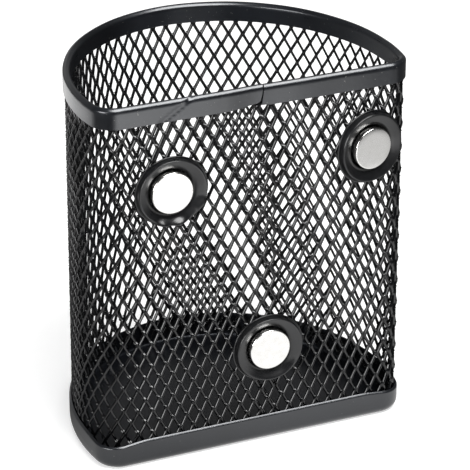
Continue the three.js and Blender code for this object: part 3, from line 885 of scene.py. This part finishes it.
def turned_points(profile, place, press):
    """A profile, as radius and height out of the face, turned about its axis. The press left the piece
    tilted about the upright, and its flange a little oval and off centre, the more the further out
    from the throat. Knocks bent its edge out here and there."""
    tilt, wider, taller, right, higher, knocks = press
    radius, height = np.asarray(profile)[:, :1], np.asarray(profile)[:, 1:]
    share = np.clip((radius - THROAT) / (FLANGE - THROAT), 0, 1)
    angle = np.linspace(0, 2 * math.pi, AROUND, endpoint=False)
    across = radius * np.cos(angle) * (1 + wider * share) + right * share
    up = radius * np.sin(angle) * (1 + taller * share) + higher * share
    out = height + bent_out(angle, radius, knocks)
    ct, st = math.cos(math.radians(tilt)), math.sin(math.radians(tilt))
    x = place[0] + across * ct + out * st
    y = FACE_Y + MESH_FRONT - (out * ct - across * st)
    return np.stack([x, y, place[1] + up], -1)


def turned_piece(name, profile, place, press, material, node):
    """A turned shape as a closed piece. A profile that starts on the axis has a pole at each end, and
    any other is a ring that closes on itself."""
    points = turned_points(profile, place, press)
    faces = [grid_faces(len(points) + 1, AROUND) % (len(points) * AROUND)]
    if profile[0][0] == 0:
        points, faces = close_with_poles(points[1:-1], points[0, 0], points[-1, 0])
    return make_piece(name, points, faces, material, [node])


# %% Profiles of cup, magnet and retaining ring
# Radii from the throat to the flange's edge, and heights out of the face
BARREL_DEPTH = 1.8
CUP_SHEET = 0.4
THROAT, BARREL, BEND_FROM, CREST, FLANGE = 5.8, 6.2, 6.8, 8.55, 9.35
CREST_HEIGHT, DISH_DROP, THROAT_DROP = 2.35, 0.95, 0.5
DISH_EASE = 0.08
LIP_LOW, LIP_HIGH = 0.3, 0.8
BARREL_EASE = 0.3
# Where the flange's underside and top meet the lip: how far in from its edge, and how far off it
UNDER_ROOT, TOP_ROOT = (0.75, 0.1), (0.42, 0.08)
UNDER_CREST_IN, DISH_END_IN = 0.25, 0.5
# Steps along the dish's underside and top, each fall, the lip and a magnet's edge
UNDER_STEPS, DISH_STEPS, FALL_STEPS, LIP_STEPS, EDGE_STEPS = 5, 17, 8, 6, 5
THROAT_POWER = 8
MAGNET_RADIUS, MAGNET_BACK, MAGNET_FACE, MAGNET_EASE = 5.5, -1.1, 2.8, 0.3


def fall(crest, end):
    """A quarter ellipse from the crest, where it is level, down to where it is upright."""
    turn = np.linspace(0, math.pi / 2, FALL_STEPS + 1)
    return np.stack([crest[0] + (end[0] - crest[0]) * np.sin(turn),
                     crest[1] + (end[1] - crest[1]) * (1 - np.cos(turn))], 1)


def dish(radii):
    """The flange's face from its crest in to the throat: an eased straight slope that drops by
    DISH_DROP, and close to the throat a bend that drops by THROAT_DROP more."""
    share = (CREST - radii) / (CREST - THROAT)
    slope = np.hypot(share, DISH_EASE) - DISH_EASE
    return np.stack([radii, CREST_HEIGHT - DISH_DROP * slope - THROAT_DROP * share ** THROAT_POWER], 1)


def cup_profile():
    """Barrel's closed end, underside of the flange, lip, top of the flange, throat and cup floor. The
    lip is a half circle, and the sides of the flange fall to it as quarter ellipses."""
    under = (CREST - UNDER_CREST_IN, CREST_HEIGHT - CUP_SHEET)
    lip_radius = (LIP_HIGH - LIP_LOW) / 2
    parts = [
        [[0, -BARREL_DEPTH], [BARREL - BARREL_EASE, -BARREL_DEPTH], [BARREL, BARREL_EASE - BARREL_DEPTH]],
        dish(np.linspace(BARREL, CREST - DISH_END_IN, UNDER_STEPS + 1)) - [0, CUP_SHEET],
        fall(under, (FLANGE - UNDER_ROOT[0], LIP_LOW + UNDER_ROOT[1])),
        arc((FLANGE - lip_radius, LIP_LOW + lip_radius), lip_radius, -90, 90, LIP_STEPS),
        fall((CREST, CREST_HEIGHT), (FLANGE - TOP_ROOT[0], LIP_HIGH - TOP_ROOT[1]))[::-1],
        dish(np.linspace(CREST, THROAT, DISH_STEPS + 1))[1:],
        [[THROAT, CUP_SHEET - BARREL_DEPTH], [0, CUP_SHEET - BARREL_DEPTH]],
    ]
    return np.concatenate(parts)


def magnet_profile():
    """A disc whose two edges are quarter circles of radius MAGNET_EASE."""
    inner = MAGNET_RADIUS - MAGNET_EASE
    low = arc((inner, MAGNET_BACK + MAGNET_EASE), MAGNET_EASE, -90, 0, EDGE_STEPS)
    top = arc((inner, MAGNET_FACE - MAGNET_EASE), MAGNET_EASE, 0, 90, EDGE_STEPS)
    face = [[inner * share, MAGNET_FACE] for share in (0.66, 0.33, 0)]
    return np.concatenate([[[0, MAGNET_BACK]], low, top, face])


def retainer_profile(inner=6.5, outer=7.3, front=-1.0, back=-1.6, ease=0.12):
    """A flat ring with eased edges, as a closed section."""
    return [[inner, back + ease], [inner, front - ease], [inner + ease, front], [outer - ease, front],
            [outer, front - ease], [outer, back + ease], [outer - ease, back], [inner + ease, back]]


print("points in the profiles:", len(cup_profile()), len(magnet_profile()), len(retainer_profile()))

# %% Set the three magnets on the face
def centre_of(node):
    """The place of a turned solid on the face, as x and z in millimetres."""
    low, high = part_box(node)
    return ((low.x + high.x) / 2 / MM, (low.z + high.z) / 2 / MM)


# Tilt in degrees, how much wider, taller, further right and higher the flange is, and its knocks as
# angle and half width in degrees and height
PRESSED = {"upper_left": (0, 0.05, -0.01, 0.5, -0.3, [(-108, 17, 0.95), (-80, 20, 0.95), (-30, 15, 0.6)]),
           "upper_right": (10, 0.04, 0.05, 0.1, -0.1, [(-50, 40, 0.25)]),
           "lower": (0, 0.05, -0.01, 0.25, -0.3, [(-75, 65, 0.45)])}
UNPRESSED = (0, 0, 0, 0, 0, [])
for where, press in PRESSED.items():
    place = centre_of(f"magnet_{where}")
    turned_piece(f"flanged_cup_{where}", cup_profile(), place, press, CUP_ENAMEL,
                 f"magnet_cup_{where}")
    turned_piece(f"nickel_magnet_{where}", magnet_profile(), place, (press[0], *UNPRESSED[1:]), NICKEL,
                 f"magnet_{where}")
    turned_piece(f"retaining_ring_{where}", retainer_profile(), place, UNPRESSED, CUP_ENAMEL,
                 f"retainer_{where}")
    print("magnet", where, "at", [round(v, 2) for v in place])

# %% [markdown]
# ## Studio
# Black enamel shows the room rather than itself, so what it mirrors is laid out with care. The holder
# stands on white paper, which the camera sees and which takes the shadow. Mirror images see another
# sheet in its place, with pools of light on a dark floor. The flat face is seen from above, so it
# mirrors the pool in front, out of the picture: that greys the rim's face, more at the left than at
# the right, and whitens the magnets. Floor close to the face lights the pan's band, and floor behind
# the holder lights the far left of the rim. The rolled edges and strands mirror the lamps.

# %% White paper floor
# Edges of the floor, how far it lies below the holder, how strongly it glows to the camera near the
# holder and far from it, and between which distances that changes
FLOOR_FRONT, FLOOR_BACK, FLOOR_SIDE = -0.45, 2.0, 2.5
FLOOR_DROP = 0.00002
PAPER_MM = 3
NEAR_GLOW, FAR_GLOW = 0.54, 1.0
GLOW_FROM, GLOW_TO = 0.3, 0.9


def add_sheet(name, height, material):
    """A flat sheet of the floor's size at that height, which belongs to the studio."""
    mesh = bpy.data.meshes.new(name)
    points = [(x, y, height) for y in (FLOOR_FRONT, FLOOR_BACK) for x in (-FLOOR_SIDE, FLOOR_SIDE)]
    mesh.from_pydata(points, [], [(0, 1, 3, 2)])
    mesh.materials.append(material)
    sheet = bpy.data.objects.new(name, mesh)
    scene.collection.objects.link(sheet)
    return sheet


def add_floor():
    """Matt white paper with a faint grain, that is in no mirror image. It glows a little to the camera,
    and more the farther it lies from the holder, where the lamps no longer reach."""
    paper, tree, shader, where = new_material("matt white paper", {
        "Roughness": 0.9, "Specular IOR Level": 0.0, "Emission Color": (1, 1, 1, 1)})
    grain = add_node(tree, "ShaderNodeTexNoise", {"Scale": per_metre(PAPER_MM), "Detail": 3},
                     {"Vector": where})
    white = add_node(tree, "ShaderNodeMix", {"data_type": "RGBA", 6: linear("#dadada"), 7: linear("#dedede")},
                     {0: grain.outputs["Fac"]})
    tree.links.new(white.outputs[2], shader.inputs["Base Color"])
    away = add_node(tree, "ShaderNodeVectorMath", {"operation": "LENGTH"}, {0: where})
    glow = add_node(tree, "ShaderNodeMapRange", {
        "interpolation_type": "SMOOTHSTEP", "From Min": GLOW_FROM, "From Max": GLOW_TO,
        "To Min": NEAR_GLOW, "To Max": FAR_GLOW}, {"Value": away.outputs["Value"]})
    seen = add_node(tree, "ShaderNodeMath", {"operation": "MULTIPLY"},
                    {0: add_node(tree, "ShaderNodeLightPath").outputs["Is Camera Ray"],
                     1: glow.outputs["Result"]})
    tree.links.new(seen.outputs[0], shader.inputs["Emission Strength"])
    add_sheet("floor", -FLOOR_DROP, paper).visible_glossy = False


add_floor()
print("floor:", 2 * FLOOR_SIDE, "by", FLOOR_BACK - FLOOR_FRONT, "m")

# %% The floor in mirror images
# Middle and reach of each pool across and along the floor, and how bright it is. Between the pools a
# dim glow keeps the nickel from turning black when it is seen from other sides.
POOLS = [((0.02, -0.285), (0.175, 0.2), 2.5),
         ((0.17, -0.17), (0.1, 0.1), 0.6),
         ((0.03, -0.085), (0.18, 0.1), 1.1),
         ((-0.12, -0.03), (0.11, 0.08), 0.8),
         ((-0.1, 0.21), (0.2, 0.16), 1.0),
         ((-0.22, 0.11), (0.13, 0.13), 0.8)]
DIM_GLOW = 0.08
POOL_EDGE, POOL_FULL = 0.1, 0.67


def pool_of_light(tree, where, at, reach, glow):
    """An oval pool with a soft edge. Nearness falls evenly from 1 in the middle to 0 at the reach. The
    glow is none up to a nearness of POOL_EDGE and full from POOL_FULL."""
    place = add_node(tree, "ShaderNodeMapping", {"Location": (-at[0] / reach[0], -at[1] / reach[1], 0),
                                                 "Scale": (1 / reach[0], 1 / reach[1], 1)},
                     {"Vector": where})
    cone = add_node(tree, "ShaderNodeTexGradient", {"gradient_type": "SPHERICAL"},
                    {"Vector": place.outputs["Vector"]})
    return add_node(tree, "ShaderNodeMapRange", {
        "interpolation_type": "SMOOTHSTEP", "From Min": POOL_EDGE, "From Max": POOL_FULL,
        "To Max": glow}, {"Value": cone.outputs["Fac"]}).outputs["Result"]


def add_mirrored_floor():
    """A sheet just under the paper whose glow is DIM_GLOW plus the sum of the pools. Only mirror images
    see it."""
    material, tree, shader, where = new_material("floor in mirror images", {
        "Base Color": linear("#000000"), "Specular IOR Level": 0.0, "Emission Color": (1, 1, 1, 1)})
    total = add_node(tree, "ShaderNodeValue")
    total.outputs[0].default_value = DIM_GLOW
    for pool in POOLS:
        total = add_node(tree, "ShaderNodeMath", {"operation": "ADD"},
                         {0: total.outputs[0], 1: pool_of_light(tree, where, *pool)})
    tree.links.new(total.outputs[0], shader.inputs["Emission Strength"])
    sheet = add_sheet("mirrored_floor", -2 * FLOOR_DROP, material)
    sheet.visible_camera = sheet.visible_diffuse = sheet.visible_shadow = False


add_mirrored_floor()
print("pools of light:", len(POOLS))

# %% White world
def light_world(ambient, behind, seen_white):
    """A world that is white to the camera. Its light is dim, and stronger from behind the holder: it
    grows with the square of how far back a direction points."""
    world = bpy.data.worlds.new("white studio")
    world.use_nodes = True
    tree = world.node_tree
    tree.nodes.clear()
    way = add_node(tree, "ShaderNodeSeparateXYZ", {},
                   {"Vector": add_node(tree, "ShaderNodeTexCoord").outputs["Generated"]})
    back = add_node(tree, "ShaderNodeMath", {"operation": "MAXIMUM", 1: 0.0}, {0: way.outputs["Y"]})
    squared = add_node(tree, "ShaderNodeMath", {"operation": "POWER", 1: 2.0}, {0: back.outputs[0]})
    given = add_node(tree, "ShaderNodeMath", {"operation": "MULTIPLY_ADD", 1: behind, 2: ambient},
                     {0: squared.outputs[0]})
    rays = add_node(tree, "ShaderNodeLightPath").outputs
    strength = add_node(tree, "ShaderNodeMix", {"data_type": "FLOAT", 3: seen_white},
                        {0: rays["Is Camera Ray"], 2: given.outputs[0]})
    shader = add_node(tree, "ShaderNodeBackground", {"Color": (1, 1, 1, 1)},
                      {"Strength": strength.outputs[0]})
    output = add_node(tree, "ShaderNodeOutputWorld")
    tree.links.new(shader.outputs[0], output.inputs["Surface"])
    scene.world = world


light_world(ambient=0.05, behind=0.2, seen_white=1.0)
print("world:", scene.world.name)

# %% Soft lights
LIT_POINT = Vector((0, 0, 0.05))


def soft_box(name, at, wide, tall, radiance):
    """A rectangular light, wide by tall in metres, that looks at the middle of the holder. Its watts
    follow from how bright its face is: radiance times area times pi."""
    data = bpy.data.lights.new(name, "AREA")
    data.shape = "RECTANGLE"
    data.size, data.size_y = wide, tall
    data.energy = radiance * wide * tall * math.pi
    light = bpy.data.objects.new(name, data)
    light.location = at
    light.rotation_euler = (LIT_POINT - Vector(at)).to_track_quat("-Z", "Y").to_euler()
    light.visible_camera = False
    scene.collection.objects.link(light)


soft_box("overhead", at=(0.14, -0.42, 0.9), wide=0.8, tall=0.46, radiance=10.5)
soft_box("left", at=(-0.87, -0.42, 0.33), wide=0.5, tall=0.5, radiance=8)
scene.view_settings.view_transform = "Standard"
